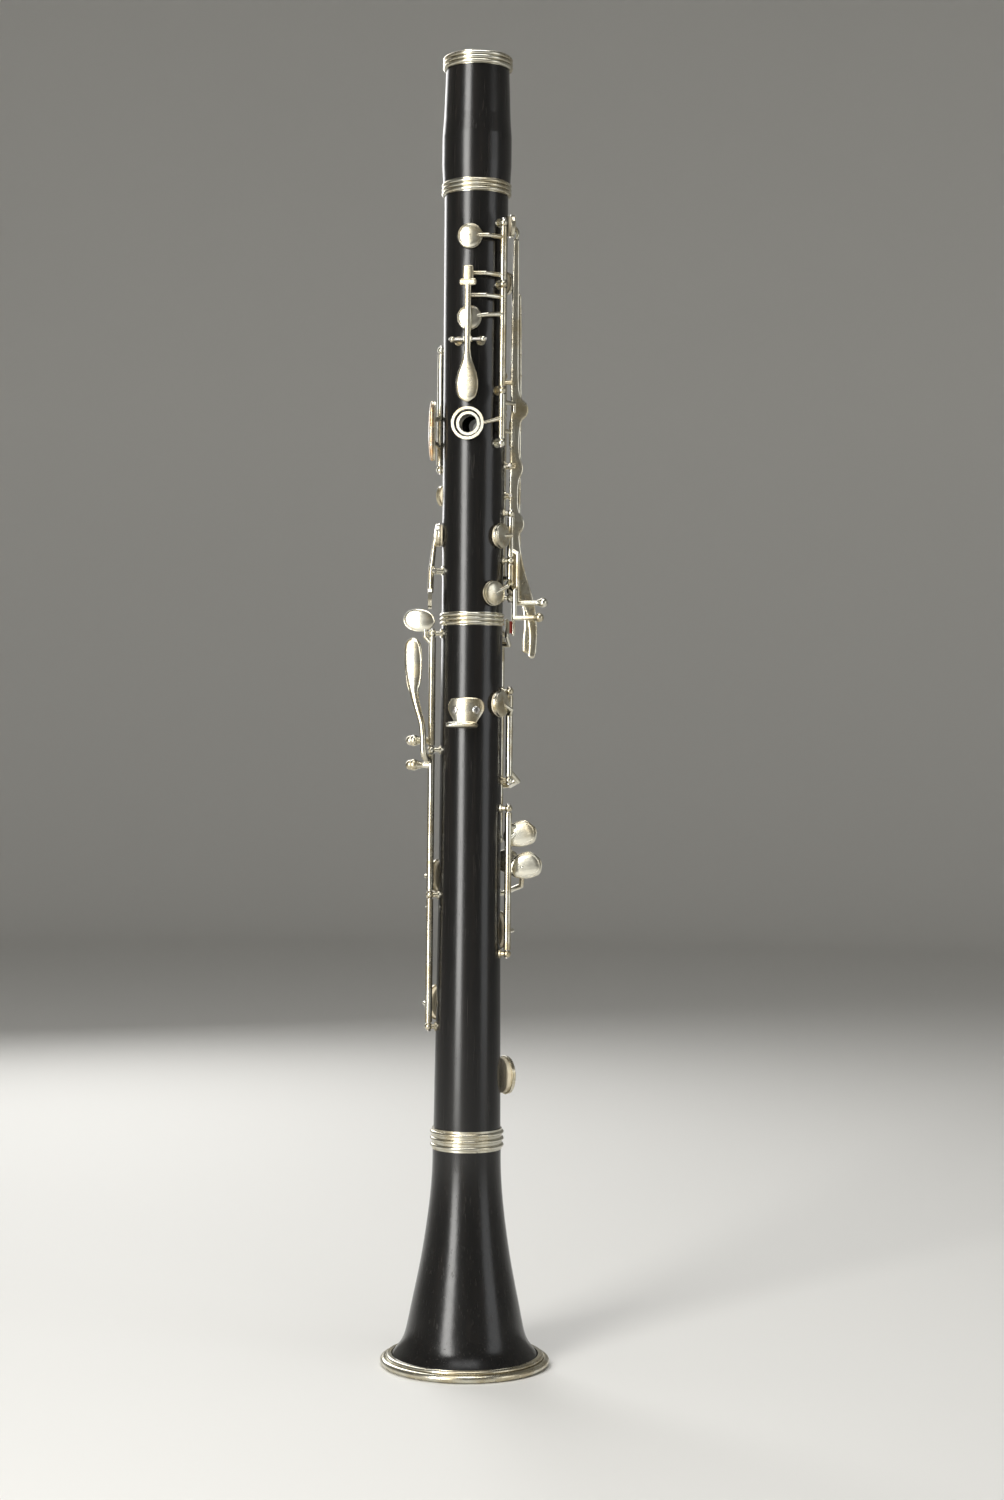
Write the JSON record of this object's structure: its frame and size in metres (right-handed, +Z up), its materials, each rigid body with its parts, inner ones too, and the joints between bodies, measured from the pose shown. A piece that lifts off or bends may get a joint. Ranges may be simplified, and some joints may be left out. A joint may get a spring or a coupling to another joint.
{
  "type": "clarinet",
  "caption": "Upright soprano clarinet in black wood without its mouthpiece, with plated keys, finger rings, padded cups, thumb rest and a flared bell.",
  "frame": {"origin": "centre of the bell rim's lower face, on the bore axis", "axes": "+Z up along the bore towards the mouthpiece socket; -Y is the thumb side (back), +Y the tone-hole side (front), +X the player's right"},
  "size_m": [0.0772, 0.0772, 0.5954],
  "materials": {
    "black_wood": "oiled near-black hardwood, satin gloss",
    "key_silver": "plated nickel silver, polished, with pale yellow tarnish",
    "steel": "turned steel",
    "pad_skin": "cream skin over felt",
    "cork": "waxed natural cork",
    "red_cork": "red-stained cork"
  },
  "bodies": {
    "root": {"upper_joint": "black_wood", "lower_joint": "black_wood", "bell": "black_wood", "lower_joint_ring": "key_silver", "bell_socket_ring": "key_silver", "bell_rim_ring": "key_silver", "tenon_corks": "cork", "upper_posts": "key_silver", "lower_posts": "key_silver", "upper_rods": "steel", "lower_rods": "steel", "thumb_hole_tube": "key_silver", "vent_tubes": "key_silver", "thumb_rest": "key_silver", "thumb_rest_screws": "steel"},
    "barrel": {"barrel": "black_wood", "barrel_top_ring": "key_silver", "barrel_foot_ring": "key_silver"},
    "register_lever": {"register_lever": "key_silver"},
    "register_vent": {"register_vent_key": "key_silver", "register_vent_pad": "pad_skin"},
    "b_flat_vent": {"b_flat_vent_key": "key_silver", "b_flat_vent_pad": "pad_skin"},
    "thumb_ring": {"thumb_ring_key": "key_silver"},
    "front_vent": {"front_vent_key": "key_silver", "front_vent_pad": "pad_skin"},
    "upper_ring": {"upper_ring_key": "key_silver", "upper_ring_pad": "pad_skin"},
    "throat_a": {"throat_a_key": "key_silver", "throat_a_pad": "pad_skin"},
    "throat_g_sharp": {"throat_g_sharp_key": "key_silver", "throat_g_sharp_pad": "pad_skin"},
    "high_trill": {"high_trill_key": "key_silver", "high_trill_pad": "pad_skin"},
    "low_trill": {"low_trill_key": "key_silver", "low_trill_pad": "pad_skin"},
    "side_b_flat": {"side_b_flat_key": "key_silver", "side_b_flat_pad": "pad_skin"},
    "side_f_sharp": {"side_f_sharp_key": "key_silver", "side_f_sharp_pad": "pad_skin"},
    "c_sharp": {"c_sharp_key": "key_silver", "c_sharp_pad": "pad_skin"},
    "left_sliver": {"left_sliver_key": "key_silver", "left_sliver_pad": "pad_skin"},
    "lower_ring": {"lower_ring_key": "key_silver", "lower_ring_pad": "pad_skin", "bridge_cork": "red_cork"},
    "banana": {"banana_key": "key_silver", "banana_pad": "pad_skin"},
    "a_flat": {"a_flat_key": "key_silver", "a_flat_pad": "pad_skin"},
    "e": {"e_key": "key_silver", "e_pad": "pad_skin"},
    "f_touch": {"f_touch_key": "key_silver"},
    "f": {"f_key": "key_silver", "f_pad": "pad_skin"},
    "f_sharp": {"f_sharp_key": "key_silver", "f_sharp_pad": "pad_skin"},
    "left_lever": {"left_lever_upper": "key_silver"}
  },
  "joints": [
    {"name": "barrel_slide", "type": "slide", "parent": "root", "child": "barrel", "axis": [0, 0, 1], "range_m": [0, 0.002]},
    {"name": "register_lever_hinge", "type": "hinge", "parent": "root", "child": "register_lever", "pos_m": [0, -0.01889, 0.4642], "axis": [1, 0, 0], "range_deg": [0, 6], "stiffness_Nm_per_rad": 0.02, "springref_deg": -6.88},
    {"name": "register_vent_hinge", "type": "hinge", "parent": "root", "child": "register_vent", "pos_m": [0.01437, -0.01006, 0.504], "axis": [0, 0, 1], "range_deg": [0, 8]},
    {"name": "b_flat_vent_hinge", "type": "hinge", "parent": "root", "child": "b_flat_vent", "pos_m": [0.01437, -0.01006, 0.466], "axis": [0, 0, 1], "range_deg": [0, 5]},
    {"name": "thumb_ring_hinge", "type": "hinge", "parent": "root", "child": "thumb_ring", "pos_m": [0.01437, -0.01006, 0.43], "axis": [0, 0, 1], "range_deg": [-4, 0], "stiffness_Nm_per_rad": 0.02, "springref_deg": 6.88},
    {"name": "front_vent_hinge", "type": "hinge", "parent": "root", "child": "front_vent", "pos_m": [0.01115, 0.01328, 0.443], "axis": [0, 0, 1], "range_deg": [0, 4.5]},
    {"name": "upper_ring_hinge", "type": "hinge", "parent": "root", "child": "upper_ring", "pos_m": [0.01115, 0.01328, 0.395], "axis": [0, 0, 1], "range_deg": [0, 4.2]},
    {"name": "throat_a_hinge", "type": "hinge", "parent": "root", "child": "throat_a", "pos_m": [0, 0.0179, 0.4692], "axis": [-1, 0, 0], "range_deg": [0, 8], "stiffness_Nm_per_rad": 0.02, "springref_deg": -6.88},
    {"name": "throat_g_sharp_hinge", "type": "hinge", "parent": "root", "child": "throat_g_sharp", "pos_m": [-0.01665, 0.00541, 0.436], "axis": [0, 0, 1], "range_deg": [0, 9], "stiffness_Nm_per_rad": 0.02, "springref_deg": -6.88},
    {"name": "high_trill_hinge", "type": "hinge", "parent": "root", "child": "high_trill", "pos_m": [0.01641, 0.0044, 0.4096], "axis": [0, 1, 0], "range_deg": [0, 1.3], "stiffness_Nm_per_rad": 0.02, "springref_deg": -6.88},
    {"name": "low_trill_hinge", "type": "hinge", "parent": "root", "child": "low_trill", "pos_m": [0.01637, 0.0082, 0.3962], "axis": [0, 1, 0], "range_deg": [0, 1.2], "stiffness_Nm_per_rad": 0.02, "springref_deg": -6.88},
    {"name": "side_b_flat_hinge", "type": "hinge", "parent": "root", "child": "side_b_flat", "pos_m": [0.01732, 0.0003, 0.377], "axis": [0, 0, 1], "range_deg": [0, 12], "stiffness_Nm_per_rad": 0.02, "springref_deg": -6.88},
    {"name": "side_f_sharp_hinge", "type": "hinge", "parent": "root", "child": "side_f_sharp", "pos_m": [0.01732, 0.0003, 0.357], "axis": [0, 0, 1], "range_deg": [0, 9], "stiffness_Nm_per_rad": 0.02, "springref_deg": -6.88},
    {"name": "c_sharp_hinge", "type": "hinge", "parent": "root", "child": "c_sharp", "pos_m": [-0.0171, -0.00301, 0.3612], "axis": [0.1736, -0.9848, 0], "range_deg": [0, 8], "stiffness_Nm_per_rad": 0.02, "springref_deg": -6.88},
    {"name": "left_sliver_hinge", "type": "hinge", "parent": "root", "child": "left_sliver", "pos_m": [-0.01165, 0.01294, 0.391], "axis": [0, 0, 1], "range_deg": [-9, 0], "stiffness_Nm_per_rad": 0.02, "springref_deg": 6.88},
    {"name": "lower_ring_hinge", "type": "hinge", "parent": "root", "child": "lower_ring", "pos_m": [0.01127, 0.01343, 0.286], "axis": [0, 0, 1], "range_deg": [0, 4.2], "stiffness_Nm_per_rad": 0.02, "springref_deg": -6.88},
    {"name": "banana_hinge", "type": "hinge", "parent": "root", "child": "banana", "pos_m": [0.0174, 0.00152, 0.283], "axis": [0, 0, 1], "range_deg": [0, 6], "stiffness_Nm_per_rad": 0.02, "springref_deg": -6.88},
    {"name": "a_flat_hinge", "type": "hinge", "parent": "root", "child": "a_flat", "pos_m": [0.0178, -0.00093, 0.22], "axis": [0, 0, 1], "range_deg": [-10, 0], "stiffness_Nm_per_rad": 0.02, "springref_deg": 6.88},
    {"name": "e_hinge", "type": "hinge", "parent": "root", "child": "e", "pos_m": [0.00226, 0.01841, 0.17], "axis": [0, 0, 1], "range_deg": [-5, 0], "stiffness_Nm_per_rad": 0.02, "springref_deg": 6.88},
    {"name": "f_touch_hinge", "type": "hinge", "parent": "root", "child": "f_touch", "pos_m": [0.00226, 0.01841, 0.23], "axis": [0, 0, 1], "range_deg": [-6, 0], "stiffness_Nm_per_rad": 0.02, "springref_deg": 6.88},
    {"name": "f_hinge", "type": "hinge", "parent": "root", "child": "f", "pos_m": [-0.0173, -0.00562, 0.184], "axis": [0, 0, 1], "range_deg": [-4.1, 0]},
    {"name": "f_sharp_hinge", "type": "hinge", "parent": "root", "child": "f_sharp", "pos_m": [-0.0173, -0.00562, 0.247], "axis": [0, 0, 1], "range_deg": [0, 8], "stiffness_Nm_per_rad": 0.02, "springref_deg": -6.88},
    {"name": "left_lever_hinge", "type": "hinge", "parent": "root", "child": "left_lever", "pos_m": [-0.0173, -0.00562, 0.306], "axis": [0, 0, 1], "range_deg": [0, 6]}
  ],
  "couplings": [
    {"joint": "register_vent_hinge", "follows": "register_lever_hinge", "ratio": 1.33},
    {"joint": "b_flat_vent_hinge", "follows": "register_lever_hinge", "ratio": 0.83},
    {"joint": "front_vent_hinge", "follows": "thumb_ring_hinge", "ratio": -1.1},
    {"joint": "upper_ring_hinge", "follows": "lower_ring_hinge", "ratio": 1},
    {"joint": "f_hinge", "follows": "f_touch_hinge", "ratio": 0.66},
    {"joint": "left_lever_hinge", "follows": "e_hinge", "ratio": -1.19}
  ]
}
